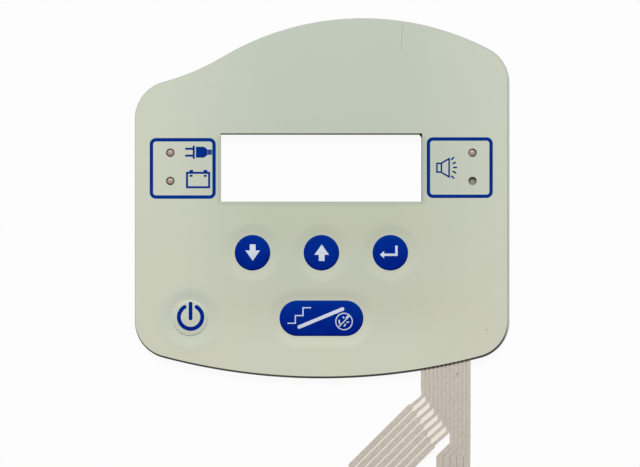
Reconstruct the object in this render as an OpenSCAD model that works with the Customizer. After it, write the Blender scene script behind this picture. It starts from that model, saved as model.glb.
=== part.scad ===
// Membrane keypad on a rigid backing plate, lying on its back with the keys up.
// Origin: middle of the display window, on the plane that the keypad lies on. Millimetres.

/* [Panel outline] */
// Width of the backing plate
panel_w = 133; // [120:0.1:160]
// Top of the crown above the middle of the window
crown_y = 53.2; // [46:0.1:64]
// Sideways place of the top of the crown
crown_x = 14.4; // [5:0.1:22]
// Radius of the crown
crown_r = 97; // [85:0.5:120]
// Middle of the upper left corner above the middle of the window
shoulder_y = 17.5; // [10:0.1:24]
// Radius of the upper left corner
shoulder_corner_r = 13.5; // [8:0.1:18]
// Radius of the hollow between the upper left corner and the crown
hollow_r = 86.5; // [60:0.5:120]
// Radius of the upper right corner
crown_corner_r = 13.6; // [8:0.1:18]
// Lowest edge of the panel below the middle of the window
foot_y = 74.7; // [70:0.1:90]
// Radius of the bowed lower edge
foot_r = 220; // [150:1:320]
// Radius of the two lower corners
foot_corner_r = 13.5; // [8:0.1:18]
// Rim of the plate that the layers on it leave bare
plate_rim = 0.7; // [0.3:0.05:1.5]
// How far the plate sits to the right of the layers on it
plate_right = 0.3; // [0:0.05:0.5]
// How far the plate sits lower than the layers on it
plate_drop = 0.1; // [0:0.05:0.5]

/* [Display window] */
// Width of the cut-out
window_w = 71.4; // [60:0.1:76]
// Height of the cut-out
window_h = 24.2; // [15:0.1:26]

/* [Layers] */
// Thickness of the release liner
liner_t = 0.1; // [0.05:0.01:0.2]
// Thickness of the adhesive behind the plate
rear_adhesive_t = 0.13; // [0.05:0.01:0.3]
// How far the rear adhesive stays back from the plate's edge
rear_adhesive_inset = 0.8; // [0:0.1:3]
// Thickness of the backing plate
plate_t = 1.5; // [0.8:0.1:3]
// Thickness of the adhesive under the circuit film
circuit_adhesive_t = 0.13; // [0.05:0.01:0.3]
// Thickness of the circuit film
film_t = 0.15; // [0.1:0.01:0.25]
// Thickness of the printed conductors
conductor_t = 0.05; // [0.02:0.01:0.1]
// Thickness of the spacer layer
spacer_t = 0.5; // [0.45:0.05:1]
// Thickness of the adhesive under the graphic overlay
overlay_adhesive_t = 0.13; // [0.05:0.01:0.3]
// Thickness of the graphic overlay
overlay_t = 0.25; // [0.15:0.01:0.4]

/* [Keys] */
// Diameter of a round key, and width of the long key
key_d = 12.5; // [11:0.1:15]
// Distance between the keys of the upper row
key_pitch = 24.4; // [20:0.1:27]
// Upper key row below the middle of the window
key_row_y = 30.2; // [26:0.1:34]
// Lower key row below the middle of the window
lower_row_y = 53.4; // [51:0.1:55]
// Length of the long key
mode_key_l = 29.6; // [18:0.1:40]
// Sideways place of the power key, left of the middle
power_key_x = 46.5; // [42:0.1:49]
// Height of the sloped rim of an embossed key
emboss_rim_h = 0.2; // [0.1:0.05:0.4]
// Height of a whole embossed key
emboss_h = 0.5; // [0.45:0.05:0.9]

/* [Snap domes] */
// Diameter of a snap dome across its feet
dome_d = 8.4; // [6:0.1:9]
// Height of a snap dome
dome_h = 0.4; // [0.3:0.05:0.45]
// Thickness of the dome metal
dome_t = 0.08; // [0.05:0.01:0.12]
// Diameter of the bites between the four feet
dome_bite_d = 6; // [4:0.1:8]
// Gap between a dome and its pocket in the spacer
dome_gap = 0.3; // [0.1:0.05:0.6]

/* [Indicators] */
// Diameter of the light holes in the overlay
light_hole_d = 3; // [2.6:0.1:4]
// Sideways place of the light holes from the middle
light_x = 53.5; // [48:0.1:56]
// Half the distance between the two rows of light holes
light_y = 5; // [3:0.1:8]
// Middle between the two rows of light holes above the middle of the window
light_rise = 0.2; // [-2:0.1:2]
// Diameter of the lens of a light
lens_d = 2.2; // [1.6:0.1:2.4]
// Height of a light above its pads
light_h = 0.78; // [0.6:0.02:0.84]
// Width of the base of a light
light_base_w = 2.6; // [2.5:0.1:2.8]
// Depth of the base of a light
light_base_d = 1.8; // [1.4:0.1:2]
// Height of the base of a light
light_base_h = 0.3; // [0.2:0.05:0.4]
// Room between the base of a light and its pocket
light_gap = 0.25; // [0.1:0.05:0.5]

/* [Conductors] */
// Width of a conductor in the panel
inner_w = 0.8; // [0.4:0.1:1.2]
// Diameter of the contact pad under a dome
pad_d = 3; // [2:0.1:4]
// Width of the contact ring that the feet of a dome stand on
ring_w = 1.2; // [0.8:0.1:1.8]
// Clear strip on each side of a conductor that passes a ring
ring_gap = 0.5; // [0.3:0.1:1]
// Width of a solder pad of a light
light_pad_w = 0.9; // [0.6:0.05:1]
// Distance between conductors that run side by side in the panel
inner_pitch = 2; // [1.6:0.1:2.4]

/* [Tail] */
// Left edge of the tail, right of the middle
tail_x = 35.4; // [32:0.05:38]
// Distance between conductors where the tail leaves the panel
lane_pitch = 1.46; // [1.3:0.01:1.6]
// Gap between conductors where the tail leaves the panel
lane_gap = 0.1; // [0.05:0.01:0.3]
// Distance between the fingers of the key branch
finger_pitch = 2.54; // [2.4:0.02:2.7]
// Width of a finger of the key branch
finger_w = 2.1; // [1.5:0.05:2.2]
// Distance between the fingers of the indicator branch
light_finger_pitch = 2.41; // [2.3:0.01:2.6]
// Gap between the fingers of the indicator branch
light_finger_gap = 0.2; // [0.1:0.02:0.5]
// Clear film along the edge of the tail
tail_margin = 0.08; // [0.05:0.01:0.3]
// Length of tail from the lowest edge of the panel to the first turn
fork_drop = 6.3; // [4:0.1:12]
// Width of the necks behind the key fingers
neck_w = 1.15; // [0.8:0.05:1.3]
// Length of the neck behind the outer key finger
neck_l = 5.5; // [3:0.1:8]
// How much longer each neck is than the one before it
neck_step = 0.24; // [0:0.02:0.4]
// How far the necks run flatter than the fingers, measured at their ends
neck_rise = 0.6; // [0:0.05:1.2]
// Length of the taper from a neck to its finger
taper_l = 0.7; // [0.3:0.1:1.5]
// Place of the second turn of the outer key finger, right of the middle
key_finger_x = 10.8; // [8:0.1:14]
// Start of the indicator fingers below the lowest edge of the panel
light_finger_drop = 27.8; // [25:0.1:32]
// Cut end of the tail below the lowest edge of the panel
tail_reach = 50.5; // [47:0.5:80]
// Flat length of the tail below the panel, before it sags to the surface
tail_lead = 1; // [0.5:0.1:3]

/* [Hidden] */
$fn = 96;
// Facets of a whole turn on the shallow arcs
fine = 1440;
// Largest gap between an arc of the outline and its chords
chord_gap = 0.004;

// Conductors of each branch of the tail
KEY_LANES = 7;
LIGHT_LANES = 5;

// Heights of the faces between the layers
liner_top = liner_t;
plate_z = liner_top + rear_adhesive_t;
plate_top = plate_z + plate_t;
film_z = plate_top + circuit_adhesive_t;
film_top = film_z + film_t;
conductor_top = film_top + conductor_t;
spacer_top = conductor_top + spacer_t;
overlay_z = spacer_top + overlay_adhesive_t;
overlay_top = overlay_z + overlay_t;

// Place of the plate under the layers
PLATE_SHIFT = [plate_right, -plate_drop];

// Centres of the arcs of the outline, each tangent to the next
half_w = panel_w / 2;
crown_c = [crown_x, crown_y - crown_r];
foot_c = [0, foot_r - foot_y];
shoulder_c = [shoulder_corner_r - half_w, shoulder_y];
hollow_c = meet(shoulder_c, hollow_r + shoulder_corner_r, crown_c, hollow_r + crown_r);
crown_corner_x = half_w - crown_corner_r;
crown_corner_c = [
    crown_corner_x,
    crown_c.y + leg(crown_r - crown_corner_r, crown_corner_x - crown_x)
];
foot_corner_x = half_w - foot_corner_r;
foot_corner_c = [foot_corner_x, foot_c.y - leg(foot_r - foot_corner_r, foot_corner_x)];

// Middles of the keys
KEY_DOWN = [-key_pitch, -key_row_y];
KEY_UP = [0, -key_row_y];
KEY_ENTER = [key_pitch, -key_row_y];
KEY_MODE = [0, -lower_row_y];
KEY_POWER = [-power_key_x, -lower_row_y];
KEYS = [KEY_POWER, KEY_MODE, KEY_DOWN, KEY_UP, KEY_ENTER];
ROUND_KEYS = [KEY_POWER, KEY_DOWN, KEY_UP, KEY_ENTER];

// Middles of the light holes
LIGHT_MAINS = [-light_x, light_rise + light_y];
LIGHT_BATTERY = [-light_x, light_rise - light_y];
LIGHT_SOUND = [light_x, light_rise + light_y];
LIGHT_SPARE = [light_x, light_rise - light_y];
LIGHTS = [LIGHT_MAINS, LIGHT_BATTERY, LIGHT_SOUND, LIGHT_SPARE];
light_pocket_d = norm([light_base_w, light_base_d]) + 2 * light_gap;
light_pad_x = (light_base_w - light_pad_w) / 2;

// Rings and pockets under the domes
ring_d = dome_d + ring_w / 2;
pocket_d = dome_d + 2 * dome_gap;

// Turns of the tail's conductors, worked out on their middle lines
lane_w = lane_pitch - lane_gap;
light_finger_w = light_finger_pitch - light_finger_gap;
light_slant_w = light_finger_pitch / sqrt(2) - lane_gap;
diagonal = [-1, -1] / sqrt(2);
across = [1, -1] / sqrt(2);
fork_y = -foot_y - fork_drop;
end_y = -foot_y - tail_reach;
light_finger_y = -foot_y - light_finger_drop;
tail_right = tail_x + (KEY_LANES + LIGHT_LANES) * lane_pitch;
light_finger_x = tail_right - tail_margin - light_finger_w / 2;
bend_y = -foot_y - tail_lead;
sag_l = bend_y - end_y;
sag_r = (pow(sag_l, 2) + pow(film_z, 2)) / (2 * film_z);

// Levels of the conductors that run across the panel, under, between and above the keys
low_y = -lower_row_y - ring_d / 2 - inner_pitch;
root_y = low_y - 2 * inner_pitch;
mid_y = -key_row_y - ring_d / 2 - inner_pitch;
common_y = -key_row_y + ring_d / 2 + inner_pitch;
common_x = -(key_pitch + power_key_x) / 2;
over_y = window_h / 2 + 2 * inner_pitch;
beside_x = window_w / 2 + 2 * inner_pitch;
outer_x = light_x + 2 * inner_pitch;

// Second leg of a right-angled triangle
function leg(hypotenuse, first) = sqrt(pow(hypotenuse, 2) - pow(first, 2));

// Point at a distance from one point towards another
function towards(from, to, dist) = from + dist * (to - from) / norm(to - from);

// Upper crossing of two circles
function meet(c1, r1, c2, r2) =
    let (
        d = norm(c2 - c1),
        u = (c2 - c1) / d,
        along = (r1 * r1 - r2 * r2 + d * d) / (2 * d)
    )
    c1 + along * u + leg(r1, along) * [-u.y, u.x];

// Point on the other side of the middle line
function mirrored(point) = [-point.x, point.y];

// Points along an arc from one point up to another, the shorter way round, without the last
function arc(centre, from, to) =
    let (
        r = norm(from - centre),
        start = atan2(from.y - centre.y, from.x - centre.x),
        turn = atan2(to.y - centre.y, to.x - centre.x) - start,
        sweep = turn > 180 ? turn - 360 : turn < -180 ? turn + 360 : turn,
        n = ceil(abs(sweep) / (2 * acos(1 - chord_gap / r)))
    )
    [for (i = [0:n - 1]) centre + r * [cos(start + sweep * i / n), sin(start + sweep * i / n)]];

// Outline of the panel, drawn in by inset
function outline(inset) =
    let (
        left_upper = [inset - half_w, shoulder_c.y],
        hollow_start = towards(shoulder_c, hollow_c, shoulder_corner_r - inset),
        crown_start = towards(crown_c, hollow_c, crown_r - inset),
        crown_end = towards(crown_c, crown_corner_c, crown_r - inset),
        right_upper = [half_w - inset, crown_corner_c.y],
        right_lower = [half_w - inset, foot_corner_c.y],
        foot_end = towards(foot_c, foot_corner_c, foot_r - inset),
        foot_start = mirrored(foot_end),
        left_lower = mirrored(right_lower)
    )
    concat(
        arc(shoulder_c, left_upper, hollow_start),
        arc(hollow_c, hollow_start, crown_start),
        arc(crown_c, crown_start, crown_end),
        arc(crown_corner_c, crown_end, right_upper),
        [right_upper],
        arc(foot_corner_c, right_lower, foot_end),
        arc(foot_c, foot_end, foot_start),
        arc(mirrored(foot_corner_c), foot_start, left_lower),
        [left_lower]
    );

// Points in the opposite order
function reversed(points) = [for (i = [len(points) - 1:-1:0]) points[i]];

// Middle line of a conductor where the tail leaves the panel
function lane_x(i) = tail_x + (i + 0.5) * lane_pitch;

// First and second turn of a conductor of the key branch
function key_turn(i) = [lane_x(i), fork_y + i * (lane_pitch - sqrt(2) * finger_pitch)];
function key_finger_turn(i) =
    let (x = key_finger_x + i * finger_pitch)
    [x, key_axis(i).y - key_axis(i).x + x];

// Point of the slanted axis of a key finger above its first turn
function key_axis(i) = key_turn(i) + [0, neck_rise];

// Corner of a conductor that changes from half width a upright to half width b on the slant
function corner(a, b) = [a, a - sqrt(2) * b];

// One edge of a conductor of the key branch, from the panel to its cut end
function key_edge(i, side, margin = 0) =
    let (
        lane = side * (lane_w / 2 + margin),
        neck = side * (neck_w / 2 + margin),
        finger = side * (finger_w / 2 + margin),
        reach = neck_l + i * neck_step
    )
    [
        [lane_x(i) + lane, root_y],
        key_turn(i) + corner(lane, neck),
        key_axis(i) + reach * diagonal + neck * across,
        key_axis(i) + (reach + taper_l) * diagonal + finger * across,
        key_finger_turn(i) + corner(finger, finger),
        [key_finger_turn(i).x + finger, end_y]
    ];

// Turns of a conductor of the indicator branch
function light_finger_turn(j) =
    [light_finger_x - (LIGHT_LANES - 1 - j) * light_finger_pitch, light_finger_y];
function light_turn(j) =
    let (x = lane_x(KEY_LANES + j))
    [x, light_finger_y + x - light_finger_turn(j).x];

// One edge of a conductor of the indicator branch, from the panel to its cut end
function light_edge(j, side, margin = 0) =
    let (
        lane = side * (lane_w / 2 + margin),
        slant = side * (light_slant_w / 2 + margin),
        finger = side * (light_finger_w / 2 + margin)
    )
    [
        [lane_x(KEY_LANES + j) + lane, root_y],
        light_turn(j) + corner(lane, slant),
        light_finger_turn(j) + corner(finger, slant),
        [light_finger_turn(j).x + finger, end_y]
    ];

// Prism of a plan, tall enough to pass through every layer
module prism() {
    translate([0, 0, -plate_t])
        linear_extrude(2 * overlay_top)
            children();
}

// Sheet of the panel's outline, moved by shift, with the display window widened by rim
module window_sheet(t, inset, shift = [0, 0], rim = 0) {
    linear_extrude(t)
        difference() {
            translate(shift)
                polygon(outline(inset));
            square([window_w + 2 * rim, window_h + 2 * rim], center = true);
        }
}

// Sheet of the stack that lies on the plate
module stack_sheet(t) {
    window_sheet(t, plate_rim);
}

// Sheet of the stack with a pocket for each dome and light
module pocketed_sheet(t) {
    difference() {
        stack_sheet(t);
        for (key = KEYS)
            translate([key.x, key.y, -t])
                cylinder(d = pocket_d, h = 3 * t);
        for (light = LIGHTS)
            translate([light.x, light.y, -t])
                cylinder(d = light_pocket_d, h = 3 * t);
    }
}

// Layer that is flat in the panel and sags to the surface along the tail, cut from prisms
module sagging_layer(z, t) {
    r = sag_r + z - film_z;
    intersection() {
        union()
            children();
        rotate([90, 0, 90])
            linear_extrude(2 * panel_w, center = true)
                union() {
                    translate([bend_y, z])
                        square([crown_y - bend_y, t]);
                    intersection() {
                        translate([bend_y, film_z - sag_r])
                            difference() {
                                circle(r + t, $fn = fine);
                                circle(r, $fn = fine);
                            }
                        translate([end_y, -plate_t])
                            square([sag_l, 2 * overlay_top]);
                    }
                }
    }
}

// Straight conductors from point to point, along X and Y, with square corners
module track(points) {
    for (i = [0:len(points) - 2]) {
        low = [min(points[i].x, points[i + 1].x), min(points[i].y, points[i + 1].y)];
        high = [max(points[i].x, points[i + 1].x), max(points[i].y, points[i + 1].y)];
        prism()
            translate(low - [inner_w, inner_w] / 2)
                square(high - low + [inner_w, inner_w]);
    }
}

// Contact ring of a dome, open towards the pad's own conductor below it
module contact_ring(middle) {
    prism()
        translate(middle)
            difference() {
                circle(d = ring_d);
                circle(d = ring_d - 2 * ring_w);
                translate([-inner_w / 2 - ring_gap, -ring_d])
                    square([inner_w + 2 * ring_gap, ring_d]);
            }
}

// Tail lane between the two edges of a conductor
module lane(left, right) {
    prism()
        polygon(concat(left, reversed(right)));
}

// One key's conductor: tail lane, run across the panel at level y, and contact pad
module key_conductor(i, key, y) {
    lane(key_edge(i, -1), key_edge(i, 1));
    track([[lane_x(i), root_y], [lane_x(i), y], [key.x, y], key]);
    prism()
        translate(key)
            circle(d = pad_d);
}

// Common conductor: tail lane, run above the upper row, and the rings of all keys
module common_conductor(i) {
    reach = ring_d / 2 - ring_w / 2;
    lane(key_edge(i, -1), key_edge(i, 1));
    track([[lane_x(i), root_y], [lane_x(i), common_y], [common_x, common_y], [common_x, KEY_MODE.y]]);
    for (key = [KEY_DOWN, KEY_UP, KEY_ENTER])
        track([[key.x, common_y], [key.x, key.y + reach]]);
    track([[KEY_POWER.x + reach, KEY_POWER.y], [KEY_MODE.x - reach, KEY_MODE.y]]);
    for (key = KEYS)
        contact_ring(key);
}

// Shield conductor: tail lane and a run round three sides of the window
module shield_conductor(i) {
    lane(key_edge(i, -1), key_edge(i, 1));
    track([[lane_x(i), root_y], [lane_x(i), over_y], [-beside_x, over_y], [-beside_x, -over_y]]);
}

// Pad of a light on the side that faces the middle or the edge of the panel
module light_pad(light, side) {
    prism()
        translate(light + [side * light_pad_x, 0])
            square([light_pad_w, light_base_d], center = true);
}

// Conductor of a light on the left, led over the window at level n
module far_light_conductor(j, light, n) {
    x = -beside_x - n * inner_pitch;
    y = over_y + n * inner_pitch;
    lane(light_edge(j, -1), light_edge(j, 1));
    track([
        [lane_x(KEY_LANES + j), root_y], [lane_x(KEY_LANES + j), y],
        [x, y], [x, light.y], light + [light_pad_x, 0]
    ]);
    light_pad(light, 1);
}

// Conductor of a light on the right
module near_light_conductor(j, light) {
    lane(light_edge(j, -1), light_edge(j, 1));
    track([
        [lane_x(KEY_LANES + j), root_y], [lane_x(KEY_LANES + j), light.y],
        light - [light_pad_x, 0]
    ]);
    light_pad(light, -1);
}

// Common conductor of the lights, led round the outside of both groups
module light_common_conductor(j) {
    y = over_y + 3 * inner_pitch;
    lane(light_edge(j, -1), light_edge(j, 1));
    track([
        [lane_x(KEY_LANES + j), root_y], [lane_x(KEY_LANES + j), -over_y], [outer_x, -over_y],
        [outer_x, y], [-outer_x, y], [-outer_x, LIGHT_BATTERY.y]
    ]);
    for (light = LIGHTS) {
        side = sign(light.x);
        track([[side * outer_x, light.y], light + [side * light_pad_x, 0]]);
        light_pad(light, side);
    }
}

// Section of an embossed key: sloped rim and gently crowned top
module emboss_section(r) {
    top_r = r - emboss_rim_h;
    crown_h = emboss_h - emboss_rim_h;
    cap_r = (top_r * top_r + crown_h * crown_h) / (2 * crown_h);
    polygon([[0, 0], [r, 0], [top_r, emboss_rim_h], [0, emboss_rim_h]]);
    intersection() {
        translate([0, emboss_h - cap_r])
            circle(cap_r, $fn = fine);
        translate([0, emboss_rim_h])
            square([top_r, crown_h]);
    }
}

// Round embossed key
module round_emboss(r) {
    rotate_extrude()
        emboss_section(r);
}

// Long embossed key with round ends
module long_emboss(r, straight) {
    for (side = [-1, 1])
        translate([side * straight / 2, 0, 0])
            rotate([0, 0, -90 * side])
                rotate_extrude(angle = 180)
                    emboss_section(r);
    rotate([90, 0, 90])
        linear_extrude(straight, center = true) {
            emboss_section(r);
            mirror([1, 0])
                emboss_section(r);
        }
}

// All embossed keys, each of radius r
module embossed_keys(r) {
    for (key = ROUND_KEYS)
        translate(key)
            round_emboss(r);
    translate(KEY_MODE)
        long_emboss(r, mode_key_l - key_d);
}

// Four-footed snap dome, a cap of thin spring steel
module snap_dome(middle) {
    r = (pow(dome_d / 2, 2) + dome_h * dome_h) / (2 * dome_h);
    color("silver")
        translate([middle.x, middle.y, conductor_top])
            difference() {
                translate([0, 0, dome_h - r])
                    sphere(r, $fn = 360);
                translate([0, 0, dome_h - r])
                    sphere(r - dome_t, $fn = 360);
                translate([0, 0, -r])
                    cube(2 * r, center = true);
                for (a = [45:90:315])
                    rotate([0, 0, a])
                        translate([dome_d / 2 + dome_bite_d / 4, 0, -dome_h])
                            cylinder(d = dome_bite_d, h = 3 * dome_h);
            }
}

// Indicator light: flat base on its two pads, round lens with a domed top
module indicator_light(middle) {
    lens_r = lens_d / 2;
    dome_rise = lens_r / 3;
    cap_r = (lens_r * lens_r + dome_rise * dome_rise) / (2 * dome_rise);
    color("mistyrose")
        translate([middle.x, middle.y, conductor_top]) {
            translate([-light_base_w / 2, -light_base_d / 2, 0])
                cube([light_base_w, light_base_d, light_base_h]);
            intersection() {
                cylinder(d = lens_d, h = light_h);
                translate([0, 0, light_h - cap_r])
                    sphere(cap_r);
            }
        }
}

module release_liner() {
    color("ivory")
        window_sheet(liner_t, 0, PLATE_SHIFT);
}

module rear_adhesive() {
    color("gainsboro")
        translate([0, 0, liner_top])
            window_sheet(rear_adhesive_t, rear_adhesive_inset, PLATE_SHIFT, rear_adhesive_inset);
}

module backing_plate() {
    color("darkgray")
        translate([0, 0, plate_z])
            window_sheet(plate_t, 0, PLATE_SHIFT);
}

module circuit_adhesive() {
    color("gainsboro")
        translate([0, 0, plate_top])
            stack_sheet(circuit_adhesive_t);
}

module circuit_film() {
    color("linen")
        sagging_layer(film_z, film_t) {
            translate([0, 0, -plate_t])
                stack_sheet(2 * overlay_top);
            lane(key_edge(0, -1, tail_margin), key_edge(KEY_LANES - 1, 1, tail_margin));
            lane(light_edge(0, -1, tail_margin), light_edge(LIGHT_LANES - 1, 1, tail_margin));
        }
}

module key_conductors() {
    color("rosybrown")
        sagging_layer(film_top, conductor_t) {
            key_conductor(0, KEY_POWER, low_y - inner_pitch);
            key_conductor(1, KEY_MODE, low_y);
            key_conductor(2, KEY_DOWN, mid_y - 2 * inner_pitch);
            key_conductor(3, KEY_UP, mid_y - inner_pitch);
            key_conductor(4, KEY_ENTER, mid_y);
            common_conductor(5);
            shield_conductor(6);
        }
}

module light_conductors() {
    color("rosybrown")
        sagging_layer(film_top, conductor_t) {
            far_light_conductor(0, LIGHT_BATTERY, 1);
            far_light_conductor(1, LIGHT_MAINS, 2);
            near_light_conductor(2, LIGHT_SOUND);
            near_light_conductor(3, LIGHT_SPARE);
            light_common_conductor(4);
        }
}

module power_dome() { snap_dome(KEY_POWER); }
module mode_dome() { snap_dome(KEY_MODE); }
module down_dome() { snap_dome(KEY_DOWN); }
module up_dome() { snap_dome(KEY_UP); }
module enter_dome() { snap_dome(KEY_ENTER); }

module mains_light() { indicator_light(LIGHT_MAINS); }
module battery_light() { indicator_light(LIGHT_BATTERY); }
module sound_light() { indicator_light(LIGHT_SOUND); }

module spacer_layer() {
    color("whitesmoke")
        translate([0, 0, conductor_top])
            pocketed_sheet(spacer_t);
}

module overlay_adhesive() {
    color("gainsboro")
        translate([0, 0, spacer_top])
            pocketed_sheet(overlay_adhesive_t);
}

module graphic_overlay() {
    color([0.77, 0.79, 0.72])
        difference() {
            union() {
                translate([0, 0, overlay_z])
                    stack_sheet(overlay_t);
                translate([0, 0, overlay_top])
                    embossed_keys(key_d / 2);
            }
            translate([0, 0, overlay_z])
                embossed_keys(key_d / 2 - overlay_t);
            for (light = LIGHTS)
                translate([light.x, light.y, spacer_top])
                    cylinder(d = light_hole_d, h = overlay_top);
        }
}

release_liner();
rear_adhesive();
backing_plate();
circuit_adhesive();
circuit_film();
key_conductors();
light_conductors();
power_dome();
mode_dome();
down_dome();
up_dome();
enter_dome();
mains_light();
battery_light();
sound_light();
spacer_layer();
overlay_adhesive();
graphic_overlay();
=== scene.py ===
import math

import bmesh
import bpy
from mathutils import Matrix, Vector


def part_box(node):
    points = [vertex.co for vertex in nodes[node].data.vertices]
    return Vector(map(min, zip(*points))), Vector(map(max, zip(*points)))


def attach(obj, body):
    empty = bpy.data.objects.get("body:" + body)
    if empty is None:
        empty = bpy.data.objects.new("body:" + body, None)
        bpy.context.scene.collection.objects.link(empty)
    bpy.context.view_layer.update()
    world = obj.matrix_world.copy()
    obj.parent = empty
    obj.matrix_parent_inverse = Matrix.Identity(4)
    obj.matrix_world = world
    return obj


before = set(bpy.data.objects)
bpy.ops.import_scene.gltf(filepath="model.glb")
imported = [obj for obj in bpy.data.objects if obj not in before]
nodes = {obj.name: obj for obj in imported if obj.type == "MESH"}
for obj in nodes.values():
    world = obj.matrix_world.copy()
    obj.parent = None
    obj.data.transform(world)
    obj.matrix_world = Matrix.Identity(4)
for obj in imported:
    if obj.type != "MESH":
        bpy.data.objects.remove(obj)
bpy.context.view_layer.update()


# Camera
# It looks straight down from a little under half a metre, between the down key and the long key.
# Its lens is shifted a little, so the window shows its right and upper walls and hides the others.
MM = 0.001
scene = bpy.context.scene
picture_w = 226.34 * MM
picture_middle = Vector((-0.52, -23.42)) * MM
camera_place = Vector((-18, -42)) * MM
camera_height = 450 * MM
face_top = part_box("graphic_overlay")[1].z

camera = bpy.data.objects.new("camera", bpy.data.cameras.new("camera"))
scene.collection.objects.link(camera)
camera.data.sensor_width = 36
camera.data.lens = camera.data.sensor_width * camera_height / picture_w
camera.data.shift_x, camera.data.shift_y = (picture_middle - camera_place) / picture_w
camera.location = (camera_place.x, camera_place.y, face_top + camera_height)
scene.camera = camera


# Release liner
# Smooth siliconised paper on the back of the keypad, cut to the plate's outline.
# It is pulled off when the keypad is stuck to its housing.
def new_finish(name, roughness, metallic=0.0, specular=0.5):
    """A material of one shader, with its node tree and the object's own coordinates."""
    material = bpy.data.materials.new(name)
    material.use_nodes = True
    tree = material.node_tree
    shader = tree.nodes["Principled BSDF"]
    shader.inputs["Roughness"].default_value = roughness
    shader.inputs["Metallic"].default_value = metallic
    shader.inputs["Specular IOR Level"].default_value = specular
    place = tree.nodes.new("ShaderNodeTexCoord").outputs["Object"]
    return material, tree, shader, place


def grain(tree, place, spacing, stretch=(1, 1, 1), detail=2):
    """Noise whose lumps are about as far apart as spacing, drawn out along some axes."""
    mapping = tree.nodes.new("ShaderNodeMapping")
    mapping.inputs["Scale"].default_value = [1 / (spacing * s) for s in stretch]
    tree.links.new(place, mapping.inputs["Vector"])
    noise = tree.nodes.new("ShaderNodeTexNoise")
    noise.inputs["Scale"].default_value = 1
    noise.inputs["Detail"].default_value = detail
    tree.links.new(mapping.outputs["Vector"], noise.inputs["Vector"])
    return noise.outputs["Fac"]


def ramp(tree, value, *stops):
    """Colour that runs from stop to stop as the value grows, each stop a value and its colour."""
    node = tree.nodes.new("ShaderNodeValToRGB")
    elements = node.color_ramp.elements
    while len(elements) < len(stops):
        elements.new(1.0)
    for element, (at, colour) in zip(elements, stops):
        element.position = at
        element.color = (*colour, 1)
    tree.links.new(value, node.inputs["Fac"])
    return node.outputs["Color"]


def tint(tree, shader, value, low, high, span=(0.35, 0.65)):
    """Base colour that runs from low to high as the value crosses the span."""
    colour = ramp(tree, value, (span[0], low), (span[1], high))
    tree.links.new(colour, shader.inputs["Base Color"])


def relief(tree, shader, height, tone_and_painted_light, under=None):
    """Bump of a real depth, laid over another bump where one is given."""
    bump = tree.nodes.new("ShaderNodeBump")
    bump.inputs["Distance"].default_value = tone_and_painted_light
    tree.links.new(height, bump.inputs["Height"])
    if under:
        tree.links.new(under, bump.inputs["Normal"])
    tree.links.new(bump.outputs["Normal"], shader.inputs["Normal"])
    return bump.outputs["Normal"]


def dress(material, *names):
    """Gives CAD nodes their finish."""
    for name in names:
        nodes[name].data.materials.clear()
        nodes[name].data.materials.append(material)


liner_paper, tree, shader, place = new_finish("liner_paper", 0.55, specular=0.3)
fibres = grain(tree, place, 0.6 * MM, (3, 1, 1), 5)
tint(tree, shader, fibres, (0.78, 0.75, 0.66), (0.86, 0.84, 0.77))
relief(tree, shader, fibres, 0.01 * MM)
dress(liner_paper, "release_liner")


# Adhesive sheets
# Thin milky double-sided sheets behind the plate, under the circuit film and under the overlay.
# Only their cut edges show, and these are painted dark as shade.
adhesive, tree, shader, place = new_finish("adhesive", 0.4)
edge_shade_grain = grain(tree, place, 1.2 * MM, detail=4)
# Painted shade: the cut edges get near-black tones.
tint(tree, shader, edge_shade_grain, (0.05, 0.05, 0.042), (0.09, 0.09, 0.078))
relief(tree, shader, edge_shade_grain, 0.02 * MM)
dress(adhesive, "rear_adhesive", "circuit_adhesive", "overlay_adhesive")


# Backing plate
# Flat aluminium sheet that keeps the keypad stiff, a little larger than the layers on it.
# Its rim is bare rolled metal, and its cut edges and its foot are painted dark as shade.
def vector_step(tree, operation, value, other=None):
    """One step of vector arithmetic in a node tree, with a constant or another value."""
    step = tree.nodes.new("ShaderNodeVectorMath")
    step.operation = operation
    tree.links.new(value, step.inputs[0])
    if isinstance(other, tuple):
        step.inputs[1].default_value = other
    elif other is not None:
        tree.links.new(other, step.inputs[1])
    return step.outputs["Value" if operation in ("LENGTH", "DOT_PRODUCT") else "Vector"]


def number_step(tree, operation, value, other):
    """One step of arithmetic in a node tree, with a number or another value."""
    step = tree.nodes.new("ShaderNodeMath")
    step.operation = operation
    tree.links.new(value, step.inputs[0])
    if isinstance(other, (int, float)):
        step.inputs[1].default_value = other
    else:
        tree.links.new(other, step.inputs[1])
    return step.outputs["Value"]


def run_between(tree, value, start, end):
    """Smooth run from 0 at start to 1 at end."""
    run = tree.nodes.new("ShaderNodeMapRange")
    run.interpolation_type = "SMOOTHSTEP"
    run.inputs["From Min"].default_value = start
    run.inputs["From Max"].default_value = end
    tree.links.new(value, run.inputs["Value"])
    return run.outputs["Result"]


# Painted shade: the plate is darker on faces that don't face up and towards its foot.
shade_below, lit_above = -68 * MM, -52 * MM
plate_metal, tree, shader, place = new_finish("plate_metal", 0.5, metallic=0.25, specular=0.3)
rolled = grain(tree, place, 0.25 * MM, (60, 1, 1), 3)
facing = tree.nodes.new("ShaderNodeNewGeometry").outputs["Normal"]
face_up = vector_step(tree, "LENGTH", vector_step(tree, "MULTIPLY", facing, (0, 0, 1)))
lit_face = run_between(tree, face_up, 0.2, 0.8)
upwards = vector_step(tree, "DOT_PRODUCT", place, (0, 1, 0))
lit_side = number_step(tree, "MULTIPLY", run_between(tree, upwards, shade_below, lit_above), 0.8)
lit = number_step(tree, "MULTIPLY", lit_face, number_step(tree, "ADD", lit_side, 0.2))
streaks = number_step(tree, "MULTIPLY", rolled, 0.2)
metal = number_step(tree, "ADD", number_step(tree, "MULTIPLY", lit, 0.8), streaks)
tint(tree, shader, metal, (0.03, 0.03, 0.024), (0.47, 0.475, 0.44), (0.05, 0.95))
relief(tree, shader, rolled, 0.008 * MM)
dress(plate_metal, "backing_plate")
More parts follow.
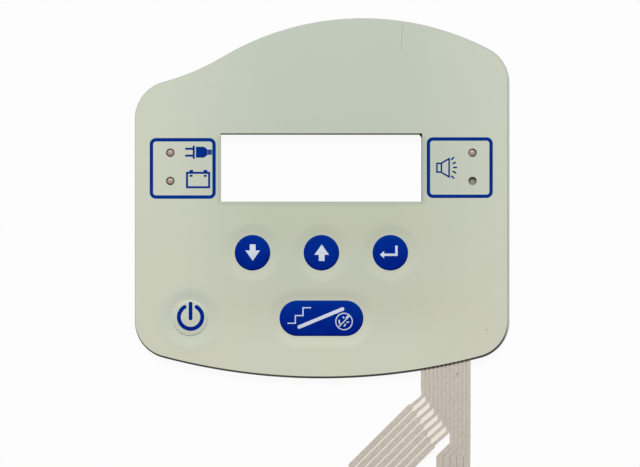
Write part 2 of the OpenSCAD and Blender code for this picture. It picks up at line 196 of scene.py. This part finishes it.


# Circuit film
# Clear polyester that carries the conductors and runs out as the forked tail.
# It looks cream between the key branch's fingers, brownish where lines lie close, partly its tint and
# partly painted shade between the lines, and grey in the panel as painted shade in its holes.
fork_start = Vector((36.95, -81.1)) * MM
fork_normal = Vector((1.46, 1)).normalized()
key_branch_edge = -139.7 * MM
panel_end = -73 * MM

clear_film, tree, shader, place = new_finish("clear_film", 0.35, specular=0.2)
beyond_fork = vector_step(tree, "DOT_PRODUCT", place, (*fork_normal, 0))
lanes = number_step(tree, "GREATER_THAN", beyond_fork, fork_start.dot(fork_normal))
rise_less_run = vector_step(tree, "DOT_PRODUCT", place, (-1, 1, 0))
light_branch = number_step(tree, "LESS_THAN", rise_less_run, key_branch_edge)
upwards = vector_step(tree, "DOT_PRODUCT", place, (0, 1, 0))
# Painted shade: the film is darker between close lines and inside the panel.
shaded_inside = number_step(tree, "MULTIPLY", number_step(tree, "GREATER_THAN", upwards, panel_end), 0.9)
close_lines = number_step(tree, "MULTIPLY", number_step(tree, "MAXIMUM", lanes, light_branch), 0.6)
haze = number_step(tree, "MULTIPLY", grain(tree, place, 6 * MM, detail=3), 0.1)
tint_and_shade = number_step(tree, "ADD", number_step(tree, "MAXIMUM", close_lines, shaded_inside), haze)
film_tone = ramp(tree, tint_and_shade, (0.0, (0.99, 0.92, 0.82)), (0.65, (0.335, 0.288, 0.245)),
                 (0.9, (0.275, 0.275, 0.215)))
tree.links.new(film_tone, shader.inputs["Base Color"])
dress(clear_film, "circuit_film")


# Conductors
# Silver ink, overprinted with carbon, screened on the film in lines that end in contact fingers.
# The ink is warm grey, slightly pink and a little blotchy, and painted darker inside the panel as the shade
# in its holes.
tail_start = -65 * MM
conductor_ink, tree, shader, place = new_finish("conductor_ink", 0.5, specular=0.2)
blotches = number_step(tree, "MULTIPLY", grain(tree, place, 1.1 * MM, detail=4), 0.3)
upwards = vector_step(tree, "DOT_PRODUCT", place, (0, 1, 0))
# Painted shade: the ink is darker inside the panel.
unshaded_outside = number_step(tree, "MULTIPLY", number_step(tree, "LESS_THAN", upwards, tail_start), 0.7)
ink = ramp(tree, number_step(tree, "ADD", blotches, unshaded_outside),
           (0.0, (0.16, 0.16, 0.13)), (0.3, (0.26, 0.26, 0.21)),
           (0.79, (0.55, 0.49, 0.43)), (0.91, (0.65, 0.58, 0.505)))
tree.links.new(ink, shader.inputs["Base Color"])
ink_grain = grain(tree, place, 0.2 * MM, detail=2)
relief(tree, shader, ink_grain, 0.006 * MM)
dress(conductor_ink, "key_conductors", "light_conductors")


# Snap domes
# Four-footed caps of bright spring steel under the five keys.
# They stand on the contact rings and click down on the pads.
spring_steel, tree, shader, place = new_finish("spring_steel", 0.25, metallic=1.0)
polish = grain(tree, place, 0.3 * MM, (1, 8, 1), 3)
tint(tree, shader, polish, (0.60, 0.60, 0.58), (0.74, 0.74, 0.71))
relief(tree, shader, polish, 0.004 * MM)
dress(spring_steel, "power_dome", "mode_dome", "down_dome", "up_dome", "enter_dome")


# Indicator lights
# Small lamps with round lenses of pinkish, milky plastic on bases painted dark as the shade round each
# lens, soldered to the film.
# Three of the four places are fitted.
base_h = 0.32 * MM
lens_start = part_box("mains_light")[0].z + base_h
lens_plastic, tree, shader, place = new_finish("lens_plastic", 0.45, specular=0.15)
upwards = vector_step(tree, "DOT_PRODUCT", place, (0, 0, 1))
# Painted shade: the base under each lens is near-black.
lens = number_step(tree, "MULTIPLY", number_step(tree, "GREATER_THAN", upwards, lens_start), 0.8)
cloud = grain(tree, place, 0.8 * MM, detail=3)
milk_and_base_shade = number_step(tree, "ADD", lens, number_step(tree, "MULTIPLY", cloud, 0.3))
tint(tree, shader, milk_and_base_shade, (0.06, 0.047, 0.037), (0.47, 0.36, 0.30), (0.2, 1.1))
relief(tree, shader, cloud, 0.02 * MM)
dress(lens_plastic, "mains_light", "battery_light", "sound_light")


# Spacer layer
# Plain film with a pocket for each dome and light, die-cut as one sheet.
# Only its cut edges show, painted dark as shade.
spacer_film, tree, shader, place = new_finish("spacer_film", 0.5, specular=0.3)
cut_shade_grain = grain(tree, place, 0.7 * MM, detail=4)
# Painted shade: the cut edges get near-black tones.
tint(tree, shader, cut_shade_grain, (0.08, 0.08, 0.068), (0.13, 0.13, 0.112))
relief(tree, shader, cut_shade_grain, 0.01 * MM)
dress(spacer_film, "spacer_layer")


# Graphic overlay
# Matt polycarbonate film, grey-green, with embossed keys that stand in shallow dishes.
# It is warmer and paler towards its sides and its foot, partly its own tone and partly painted light, and
# cooler at the crown. Painted shade darkens it round the power key, and it is darker along the window's
# sides and foot.
overlay_low, overlay_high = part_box("graphic_overlay")
overlay_t = 0.25 * MM
film_top = overlay_low.z + overlay_t
key_r = 6.25 * MM
key_rim = 0.2 * MM
key_rise = overlay_high.z - film_top
long_key_half = 8.55 * MM
dish_w = 4.5 * MM
dish_depth = 0.29 * MM
film_middle = 4 * MM
inner_x, outer_x = 15 * MM, 66 * MM
cool_above, warm_below = 35 * MM, -70 * MM
shades_foot, shades_rise = -75, 130
# Painted shade: factors on the film's colour, running up the middle of the panel, and one for its sides.
painted_side_shade = (0.909, 0.909, 0.909)
painted_film_shade = (
    (-71, (0.995, 0.968, 0.955)), (-63, (0.985, 0.960, 0.948)), (-48, (0.890, 0.860, 0.840)),
    (-36, (0.880, 0.860, 0.840)), (-24, (0.855, 0.835, 0.800)), (-16, (0.867, 0.848, 0.807)),
    (-12, (0.867, 0.852, 0.816)), (-8, (0.790, 0.815, 0.835)), (8, (0.790, 0.815, 0.835)),
    (12, (0.868, 0.860, 0.835)), (18, (0.868, 0.875, 0.871)),
)
# Painted shade round the power key and on its face.
painted_power_shade = (0.93, 0.965, 0.985)
painted_power_shade_w = 8 * MM
sill_middle, sill_half = (0, -1 * MM), (35.7 * MM, 11.1 * MM)
sill_shade = (0.88, 0.88, 0.90)
sill_start, sill_end = 0.4 * MM, 2.0 * MM


def middle(node):
    """Middle of a CAD node, seen from above."""
    low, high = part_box(node)
    return ((low + high) / 2).to_2d()


key_places = {
    "power": (middle("power_dome"), 0.0),
    "mode": (middle("mode_dome"), long_key_half),
    "down": (middle("down_dome"), 0.0),
    "up": (middle("up_dome"), 0.0),
    "enter": (middle("enter_dome"), 0.0),
}


def distance_outside(tree, place, centre, half):
    """Distance, seen from above, from a rectangle of the given half sizes round its centre."""
    offset = vector_step(tree, "SUBTRACT", place, (*centre, 0))
    offset = vector_step(tree, "ABSOLUTE", offset)
    offset = vector_step(tree, "SUBTRACT", offset, (*half, 0))
    offset = vector_step(tree, "MAXIMUM", offset, (0, 0, 0))
    return vector_step(tree, "LENGTH", vector_step(tree, "MULTIPLY", offset, (1, 1, 0)))


def shaded(tree, colour, shade, clear):
    """Colour multiplied by a shade where clear is 0, and left as it is where clear is 1."""
    lift = vector_step(tree, "MULTIPLY", clear, tuple(1 - part for part in shade))
    return vector_step(tree, "MULTIPLY", colour, vector_step(tree, "ADD", lift, shade))


overlay_film, tree, shader, place = new_finish("overlay_film", 0.55, specular=0.25)
nearest_key = None
for key, half_length in key_places.values():
    distance = distance_outside(tree, place, key, (half_length, 0))
    nearest_key = number_step(tree, "MINIMUM", distance, nearest_key) if nearest_key else distance
dish = run_between(tree, nearest_key, key_r, key_r + dish_w)
power_distance = distance_outside(tree, place, key_places["power"][0], (0, 0))
off_power = run_between(tree, power_distance, key_r, key_r + painted_power_shade_w)
sill_distance = distance_outside(tree, place, sill_middle, sill_half)
off_sill = run_between(tree, sill_distance, sill_start, sill_end)
sideways = vector_step(tree, "SUBTRACT", place, (film_middle, 0, 0))
sideways = vector_step(tree, "LENGTH", vector_step(tree, "MULTIPLY", sideways, (1, 0, 0)))
warm_sides = run_between(tree, sideways, inner_x, outer_x)
centre = run_between(tree, sideways, outer_x, inner_x)
upwards = vector_step(tree, "DOT_PRODUCT", place, (0, 1, 0))
warm_foot = run_between(tree, upwards, cool_above, warm_below)
mottle = grain(tree, place, 26 * MM, (1, 1.4, 1), 2)
warmth = number_step(tree, "MULTIPLY", number_step(tree, "ADD", warm_sides, warm_foot), 0.45)
warmth = number_step(tree, "ADD", warmth, number_step(tree, "MULTIPLY", mottle, 0.3))
film_colour = ramp(tree, warmth, (0.1, (0.5665, 0.6325, 0.528)), (1.0, (0.6765, 0.6875, 0.5555)))
above_foot = number_step(tree, "ADD", upwards, -shades_foot * MM)
climb = number_step(tree, "DIVIDE", above_foot, shades_rise * MM)
painted_shade = ramp(tree, climb, *(((y - shades_foot) / shades_rise, colour) for y, colour in painted_film_shade))
painted_shade = vector_step(tree, "SUBTRACT", painted_shade, painted_side_shade)
painted_shade = vector_step(tree, "MULTIPLY", painted_shade, centre)
painted_shade = vector_step(tree, "ADD", painted_shade, painted_side_shade)
film_colour = vector_step(tree, "MULTIPLY", film_colour, painted_shade)
film_colour = shaded(tree, film_colour, painted_power_shade, off_power)
film_colour = shaded(tree, film_colour, sill_shade, off_sill)
tree.links.new(film_colour, shader.inputs["Base Color"])
matt = grain(tree, place, 0.16 * MM, detail=2)
dished = relief(tree, shader, dish, dish_depth)
relief(tree, shader, matt, 0.004 * MM, dished)
dress(overlay_film, "graphic_overlay")


# Blue key fields
# Deep blue ink, screen-printed over the whole of four keys, with the fine matt grain of the film.
# It follows the sloped rim and the gently crowned top of each key, and is painted lighter on slopes that
# face the lamp and darker on those that face away.
ink_spread = 0.06 * MM
ink_lift = 0.012 * MM
ink_t = 0.01 * MM
sharp_fold = math.radians(40)
crown_r = key_r - key_rim
crown_rise = key_rise - key_rim
crown_curve = (crown_r ** 2 + crown_rise ** 2) / (2 * crown_rise)


def key_height(run):
    """Height of a key above the film, at a distance from its middle line."""
    if run >= key_r:
        return 0.0
    if run > crown_r:
        return key_r - run
    return key_rise - crown_curve + math.sqrt(crown_curve ** 2 - run ** 2)


def new_piece(name, bm, material):
    """Makes a mesh a piece of the keypad, riding with its only body."""
    mesh = bpy.data.meshes.new(name)
    bm.to_mesh(mesh)
    bm.free()
    mesh.materials.append(material)
    piece = bpy.data.objects.new(name, mesh)
    scene.collection.objects.link(piece)
    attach(piece, "root")


def ink_layer(name, bm, material, thickness=ink_t):
    """A printed field, given the thickness of its ink downwards."""
    sunk = bmesh.ops.extrude_face_region(bm, geom=bm.faces[:])["geom"]
    sunk_verts = [item for item in sunk if isinstance(item, bmesh.types.BMVert)]
    bmesh.ops.translate(bm, vec=(0, 0, -thickness), verts=sunk_verts)
    bmesh.ops.recalc_face_normals(bm, faces=bm.faces)
    for face in bm.faces:
        face.smooth = True
    for edge in bm.edges:
        edge.smooth = edge.calc_face_angle(math.pi) < sharp_fold
    new_piece(name, bm, material)


lines_above = -14 * MM
blue_ink, tree, shader, place = new_finish("blue_ink", 0.5, specular=0.0)
facing = tree.nodes.new("ShaderNodeNewGeometry").outputs["Normal"]
# Painted light: the blue is lighter and greener where the surface faces +y, towards the lamp.
painted_tilt_light = vector_step(tree, "DOT_PRODUCT", facing, (0, 1, 0))
upwards = vector_step(tree, "DOT_PRODUCT", place, (0, 1, 0))
line_print = number_step(tree, "MULTIPLY", number_step(tree, "GREATER_THAN", upwards, lines_above), 0.5)
pigment = number_step(tree, "MULTIPLY", grain(tree, place, 9 * MM, detail=2), 0.5)
tone_and_painted_light = number_step(tree, "ADD", number_step(tree, "ADD", pigment, painted_tilt_light), line_print)
blue = ramp(tree, tone_and_painted_light,
            (0.10, (0.0006, 0.0130, 0.236)), (0.40, (0.0009, 0.0275, 0.268)),
            (0.675, (0.0008, 0.0260, 0.225)), (0.825, (0.0012, 0.0330, 0.250)))
tree.links.new(blue, shader.inputs["Base Color"])
blue_matt = grain(tree, place, 0.16 * MM, detail=2)
relief(tree, shader, blue_matt, 0.004 * MM)

crown_steps = 14
turn_steps = 96
pole = 0.002 * MM
for key_name in ("down", "up", "enter", "mode"):
    key, half_length = key_places[key_name]
    bm = bmesh.new()
    runs = [pole + (crown_r - pole) * i / crown_steps for i in range(crown_steps + 1)]
    runs += [crown_r + key_rim * share for share in (0.3, 0.7, 1.0)] + [key_r + ink_spread]
    line = [bm.verts.new((run, 0, film_top + key_height(run) + ink_lift)) for run in runs]
    edges = [bm.edges.new(pair) for pair in zip(line, line[1:])]
    half_step = Matrix.Rotation(math.pi / turn_steps, 4, "Z")
    bmesh.ops.transform(bm, matrix=half_step, verts=line)
    bmesh.ops.spin(bm, geom=line + edges, axis=(0, 0, 1), cent=(0, 0, 0),
                   angle=2 * math.pi, steps=turn_steps, use_merge=True)
    for vert in bm.verts:
        vert.co.x += math.copysign(half_length, vert.co.x)
    bmesh.ops.translate(bm, vec=key.to_3d(), verts=bm.verts)
    bmesh.ops.remove_doubles(bm, verts=bm.verts, dist=3 * pole)
    ink_layer(f"{key_name}_key_field", bm, blue_ink)


# Symbols on the keys
# Arrows, an enter sign and a stairs sign, printed white on the blue, and a blue power sign.
# Each follows the crown of its key.
white_ink, tree, shader, place = new_finish("white_ink", 0.5, specular=0.05)
shade = grain(tree, place, 3 * MM, detail=2)
tint(tree, shader, shade, (0.60, 0.64, 0.74), (0.67, 0.71, 0.79))
white_matt = grain(tree, place, 0.16 * MM, detail=2)
relief(tree, shader, white_matt, 0.004 * MM)

slice_w = 0.45 * MM
symbol_lift = 2 * ink_lift


def flat_shape(bm, points):
    """A flat face through points given in millimetres."""
    face = bm.faces.new([bm.verts.new((x * MM, y * MM, 0)) for x, y in points])
    face.normal_update()
    return face


def box_points(x0, y0, x1, y1):
    """Corners of an upright rectangle, anticlockwise from the lower left."""
    return [(x0, y0), (x1, y0), (x1, y1), (x0, y1)]


def bar(bm, start, end, width, round_ends=True):
    """A straight bar between two points, with round ends where wanted."""
    start, end = Vector(start), Vector(end)
    along = (end - start).normalized()
    across = Vector((-along.y, along.x)) * width / 2
    reach = along * width / 2 if round_ends else Vector((0, 0))
    corners = [start - reach - across, end + reach - across, end + reach + across, start - reach + across]
    face = flat_shape(bm, corners)
    if round_ends:
        bmesh.ops.bevel(bm, geom=face.verts[:], offset=0.499 * width * MM, affect="VERTICES",
                        segments=6, profile=0.5, material=-1)


def arc_points(centre, r, start, end, steps):
    """Points along an arc, with angles in degrees."""
    angles = [math.radians(start + (end - start) * i / steps) for i in range(steps + 1)]
    return [(centre[0] + r * math.cos(angle), centre[1] + r * math.sin(angle)) for angle in angles]


def open_ring(bm, centre, outer, inner, start, end):
    """A flat ring that is open between its two round ends, with angles in degrees."""
    mid, cap = (outer + inner) / 2, (outer - inner) / 2
    first, last = (arc_points(centre, mid, angle, angle, 1)[0] for angle in (start, end))
    flat_shape(bm, arc_points(centre, outer, start, end, 72)
               + arc_points(last, cap, end, end + 180, 12)[1:-1]
               + arc_points(centre, inner, end, start, 72)
               + arc_points(first, cap, start + 180, start + 360, 12)[1:-1])


def whole_ring(bm, centre, outer, inner):
    """A flat closed ring."""
    a, b = (bm.verts.new((r * MM, 0, 0)) for r in (inner, outer))
    edge = bm.edges.new((a, b))
    before = set(bm.faces)
    bmesh.ops.spin(bm, geom=[a, b, edge], axis=(0, 0, 1), cent=(0, 0, 0),
                   angle=2 * math.pi, steps=64, use_merge=True)
    verts = list({vert for face in bm.faces if face not in before for vert in face.verts})
    bmesh.ops.translate(bm, vec=(centre[0] * MM, centre[1] * MM, 0), verts=verts)


def print_on_key(name, bm, key_name, material):
    """Cuts flat shapes into small cells and lays them on the crown of a key."""
    key, half_length = key_places[key_name]
    bmesh.ops.triangulate(bm, faces=bm.faces)
    for axis in (0, 1):
        reach = max(abs(vert.co[axis]) for vert in bm.verts)
        count = math.ceil(reach / slice_w)
        for i in range(-count, count + 1):
            cut_at, cut_along = Vector((0, 0, 0)), Vector((0, 0, 0))
            cut_at[axis] = i * slice_w
            cut_along[axis] = 1
            everything = bm.verts[:] + bm.edges[:] + bm.faces[:]
            bmesh.ops.bisect_plane(bm, geom=everything, plane_co=cut_at, plane_no=cut_along)
    for vert in bm.verts:
        run = math.hypot(max(abs(vert.co.x) - half_length, 0), vert.co.y)
        vert.co = (vert.co.x + key.x, vert.co.y + key.y, film_top + key_height(run) + symbol_lift)
    ink_layer(name, bm, material)


arrow_x, arrow_half, shaft_half = 0.08, 2.6, 1.03
for key_name, tail_y, head_y, tip_y in (("down", 2.95, 0.81, -2.88), ("up", -2.92, -0.76, 2.90)):
    bm = bmesh.new()
    flat_shape(bm, [(arrow_x - shaft_half, tail_y), (arrow_x - shaft_half, head_y),
                    (arrow_x - arrow_half, head_y), (arrow_x, tip_y), (arrow_x + arrow_half, head_y),
                    (arrow_x + shaft_half, head_y), (arrow_x + shaft_half, tail_y)])
    print_on_key(f"{key_name}_arrow", bm, key_name, white_ink)

bm = bmesh.new()
flat_shape(bm, [(1.69, 2.50), (1.69, -0.31), (-2.25, -0.31), (-2.25, 0.56), (-3.74, -0.72),
                (-2.25, -2.00), (-2.25, -1.16), (2.53, -1.16), (2.53, 2.50)])
print_on_key("enter_arrow", bm, "enter", white_ink)

stair_w = 0.40
stair_line = [(-12.02, -1.75), (-9.26, -1.75), (-9.26, 0.95), (-6.53, 0.95), (-6.53, 3.72), (-3.70, 3.72)]
stair_sides = [Vector((step, -1)) * stair_w / 2 for step in (0, 1, 1, 1, 1, 0)]
stop_centre, stop_r, stop_w = Vector((7.98, -1.14)), 3.1, 0.36
bm = bmesh.new()
stairs = [(Vector(point) - reach, Vector(point) + reach) for point, reach in zip(stair_line, stair_sides)]
flat_shape(bm, [upper for upper, lower in stairs] + [lower for upper, lower in reversed(stairs)])
bar(bm, (-7.88, -3.08), (7.46, 3.28), 1.24)
whole_ring(bm, stop_centre, stop_r, stop_r - stop_w)
bar(bm, stop_centre + Vector((-1.9, -1.9)), stop_centre + Vector((1.95, 1.95)), stop_w, False)
for start, end, width in (((0.95, 1.35), (1.45, 1.80), 0.75), ((-1.75, 0.35), (-1.55, -0.75), 0.5),
                          ((-0.35, 1.55), (-0.05, 1.25), 0.45), ((1.05, -0.35), (1.65, -0.15), 0.42),
                          ((0.10, -1.55), (0.45, -1.05), 0.5)):
    bar(bm, stop_centre + Vector(start), stop_centre + Vector(end), width)
print_on_key("stairs_sign", bm, "mode", white_ink)

power_x, power_y = 0.2, 0.42
bm = bmesh.new()
open_ring(bm, (power_x, power_y), 4.86, 3.44, 120.5, 419.5)
bar(bm, (power_x, power_y + 4.80), (power_x, power_y - 0.45), 1.33)
print_on_key("power_sign", bm, "power", blue_ink)


# Indicator frames and symbols
# Blue line frames round the two pairs of lights, with a plug, a battery and a loudspeaker.
# They are printed flat on the film.
frame_w, frame_h, frame_corner, frame_line = 23.4, 21.5, 2.2, 1.22


def keep_outline(bm, face, line):
    """Leaves only a line of even width along the outline of a flat face."""
    bmesh.ops.inset_region(bm, faces=[face], thickness=line * MM, use_boundary=True, use_even_offset=True)
    bmesh.ops.delete(bm, geom=[face], context="FACES")


def print_on_film(name, bm, material):
    """Lays flat shapes on the film."""
    bmesh.ops.translate(bm, vec=(0, 0, film_top + ink_lift), verts=bm.verts)
    ink_layer(name, bm, material)


for side, frame_x, frame_y in (("left", -49.10, -0.35), ("right", 48.98, -0.08)):
    bm = bmesh.new()
    left, right = frame_x - frame_w / 2, frame_x + frame_w / 2
    lower, upper = frame_y - frame_h / 2, frame_y + frame_h / 2
    field = flat_shape(bm, box_points(left, lower, right, upper))
    bmesh.ops.bevel(bm, geom=field.verts[:], offset=frame_corner * MM, affect="VERTICES",
                    segments=10, profile=0.5, material=-1)
    rounded = max(bm.faces, key=lambda face: face.calc_area())
    keep_outline(bm, rounded, frame_line)
    print_on_film(f"{side}_frame", bm, blue_ink)

plug_y = 5.39
prong_x, prong_offset, prong_w = -48.25, 1.22, 0.74
collar_x, collar_end, collar_half = -45.56, -44.84, 2.33
cable_start, cable_pitch, cable_line, cable_half = -40.34, 0.55, 0.51, 0.93
bm = bmesh.new()
for prong_y in (plug_y - prong_offset, plug_y + prong_offset):
    bar(bm, (prong_x, prong_y), (collar_x, prong_y), prong_w, False)
flat_shape(bm, box_points(collar_x, plug_y - collar_half, collar_end, plug_y + collar_half))
flat_shape(bm, [(-44.45, plug_y - 1.93), (-41.60, plug_y - 1.93), (-40.40, plug_y - 1.06),
                (-40.40, plug_y + 1.06), (-41.60, plug_y + 1.93), (-44.45, plug_y + 1.93)])
for i in range(3):
    cable_x = cable_start + cable_pitch * i
    flat_shape(bm, box_points(cable_x, plug_y - cable_half, cable_x + cable_line, plug_y + cable_half))
print_on_film("plug_sign", bm, blue_ink)

battery_top, battery_line = -1.54, 0.74
bm = bmesh.new()
keep_outline(bm, flat_shape(bm, box_points(-47.95, -7.40, -39.38, battery_top)), battery_line)
for terminal_x in (-46.07, -41.06):
    flat_shape(bm, box_points(terminal_x - 0.67, battery_top, terminal_x + 0.67, -0.90))
    flat_shape(bm, box_points(terminal_x - 0.60, -3.32, terminal_x + 0.44, -2.63))
print_on_film("battery_sign", bm, blue_ink)

speaker_line = 0.57
bm = bmesh.new()
for points in ((40.60, -1.92, 42.20, -1.35), (40.60, -1.35, 41.17, 1.13), (40.60, 1.13, 42.20, 1.70)):
    flat_shape(bm, box_points(*points))
horn = flat_shape(bm, [(42.20, -1.92), (45.50, -3.86), (45.50, 3.56), (42.20, 1.70)])
keep_outline(bm, horn, speaker_line)
for ray in (((45.93, 2.64), (46.98, 3.67)), ((46.38, 1.33), (47.63, 1.82)), ((46.58, 0.01), (48.00, -0.01)),
            ((46.38, -1.33), (47.75, -2.02)), ((45.93, -2.95), (47.01, -3.92))):
    bar(bm, *ray, speaker_line, False)
print_on_film("loudspeaker_sign", bm, blue_ink)


# Marks of use and painted shade
# A few dark specks and one faint upright crease near the top of the film, the crease painted as a dark line
# of shade, and a speck on the tail.
# Dark sheets, painted as shade, lie at the tail's root between its conductors and at the foot of the
# window's upper wall.
grime_and_crease_shade, tree, shader, place = new_finish("grime_and_crease_shade", 0.7, specular=0.1)
dirt_and_shade = grain(tree, place, 0.3 * MM, detail=3)
tint(tree, shader, dirt_and_shade, (0.28, 0.29, 0.25), (0.40, 0.41, 0.35))

bm = bmesh.new()
for x, y, r in ((-56.4, -14.3, 0.22), (-53.2, -15.3, 0.16), (-40.8, -25.6, 0.2), (54.6, -39.8, 0.17),
                (58.5, -57.5, 0.26)):
    bmesh.ops.create_circle(bm, cap_ends=True, segments=9, radius=r * MM,
                            matrix=Matrix.Translation((x * MM, y * MM, 0)))
# Painted shade: the crease is a dark line.
flat_shape(bm, [(28.37, 41.0), (28.46, 42.6), (28.59, 48.5), (28.97, 50.1), (29.02, 51.0),
                (28.83, 50.2), (28.45, 48.6), (28.32, 42.6)])
print_on_film("film_marks", bm, grime_and_crease_shade)

# Near-black finish for a speck on the tail and for painted shade at the tail's root and the window's wall.
speck_and_painted_shade, tree, shader, place = new_finish("speck_and_painted_shade", 0.6, specular=0.1)
speck_and_shade_grain = grain(tree, place, 0.4 * MM, detail=3)
tint(tree, shader, speck_and_shade_grain, (0.022, 0.022, 0.016), (0.04, 0.04, 0.03))

bm = bmesh.new()
tail_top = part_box("light_conductors")[1].z + ink_lift
bmesh.ops.create_circle(bm, cap_ends=True, segments=9, radius=0.22 * MM,
                        matrix=Matrix.Translation((48.1 * MM, -73.2 * MM, tail_top)))
ink_layer("tail_mark", bm, speck_and_painted_shade)

lane_start, lane_pitch, lane_count = 35.4, 1.46, 12
foot_curve, foot_centre = 219.3, 145.28


def below_edge(x, drop):
    """Point at a drop below the lower edge of the overlay."""
    return x, foot_centre - math.sqrt(foot_curve ** 2 - x ** 2) - drop


# Painted shade: a dark comb along the overlay's lower edge, with teeth between the conductors.
edge_drop, shade_drop, tooth_drop = 0.02, 0.22, 0.92
tooth = ((-0.36, shade_drop), (-0.08, tooth_drop), (0.08, tooth_drop), (0.36, shade_drop))
comb = [below_edge(lane_start, shade_drop)]
for i in range(1, lane_count):
    x = lane_start + i * lane_pitch
    comb += [below_edge(x + offset, drop) for offset, drop in tooth]
comb.append(below_edge(lane_start + lane_count * lane_pitch, shade_drop))
half_lanes = range(2 * lane_count, -1, -1)
edge_line = [below_edge(lane_start + i * lane_pitch / 2, edge_drop) for i in half_lanes]
bm = bmesh.new()
flat_shape(bm, comb + edge_line)
bmesh.ops.translate(bm, vec=(0, 0, tail_top), verts=bm.verts)
ink_layer("root_painted_shade", bm, speck_and_painted_shade)

# Painted shade: a dark block at the foot of the window's upper wall.
wall_shade_top, wall_shade_t = 0.8 * MM, 0.7 * MM
bm = bmesh.new()
flat_shape(bm, [(-35.7, 12.1), (-35.7, 11.92), (34.9, 11.88), (35.3, 11.5), (35.5, 11.0),
                (35.7, 10.9), (35.7, 12.1)])
bmesh.ops.translate(bm, vec=(0, 0, wall_shade_top), verts=bm.verts)
ink_layer("window_wall_painted_shade", bm, speck_and_painted_shade, wall_shade_t)


# Table and light
# A pale table, a broad lamp from the top of the picture and an even, weaker light from all round.
# The table shows white to the camera and keeps only a trace of the shadow.
table_reach = 3.0
table_gap = 0.05 * MM
whiteness = 0.94
bm = bmesh.new()
bmesh.ops.create_grid(bm, x_segments=1, y_segments=1, size=table_reach)
bmesh.ops.translate(bm, vec=(0, 0, -table_gap), verts=bm.verts)
mesh = bpy.data.meshes.new("table")
bm.to_mesh(mesh)
bm.free()
table = bpy.data.objects.new("table", mesh)
scene.collection.objects.link(table)


def seen_directly(tree):
    """1 for rays from the camera, a mirror or clear film, and 0 for the light that falls on things."""
    rays = tree.nodes.new("ShaderNodeLightPath").outputs
    seen = number_step(tree, "MAXIMUM", rays["Is Camera Ray"], rays["Is Glossy Ray"])
    return number_step(tree, "MAXIMUM", seen, rays["Is Transmission Ray"])


table_top, tree, shader, place = new_finish("table_top", 0.9, specular=0.0)
shader.inputs["Base Color"].default_value = (0.7, 0.7, 0.7, 1)
glow = tree.nodes.new("ShaderNodeEmission")
blend = tree.nodes.new("ShaderNodeMixShader")
tree.links.new(number_step(tree, "MULTIPLY", seen_directly(tree), whiteness), blend.inputs["Fac"])
tree.links.new(shader.outputs["BSDF"], blend.inputs[1])
tree.links.new(glow.outputs["Emission"], blend.inputs[2])
tree.links.new(blend.outputs["Shader"], tree.nodes["Material Output"].inputs["Surface"])
table.data.materials.append(table_top)

lamp_distance = 2.0
lamp_height = math.radians(45)
lamp_turn = math.radians(8)
lamp_from = Vector((-math.sin(lamp_turn) * math.cos(lamp_height),
                    math.cos(lamp_turn) * math.cos(lamp_height), math.sin(lamp_height)))
lamp = bpy.data.objects.new("lamp", bpy.data.lights.new("lamp", "AREA"))
lamp.data.shape = "DISK"
lamp.data.size = 0.6
lamp.data.energy = 43
lamp.location = picture_middle.to_3d() + lamp_from * lamp_distance
lamp.rotation_mode = "QUATERNION"
lamp.rotation_quaternion = lamp_from.to_track_quat("Z", "Y")
scene.collection.objects.link(lamp)

sky_level = 0.2
world = bpy.data.worlds.new("studio")
world.use_nodes = True
scene.world = world
sky = world.node_tree.nodes["Background"]
sky.inputs["Color"].default_value = (1, 1, 1, 1)
level = number_step(world.node_tree, "MULTIPLY", seen_directly(world.node_tree), 1 - sky_level)
world.node_tree.links.new(number_step(world.node_tree, "ADD", level, sky_level), sky.inputs["Strength"])

scene.view_settings.view_transform = "Standard"
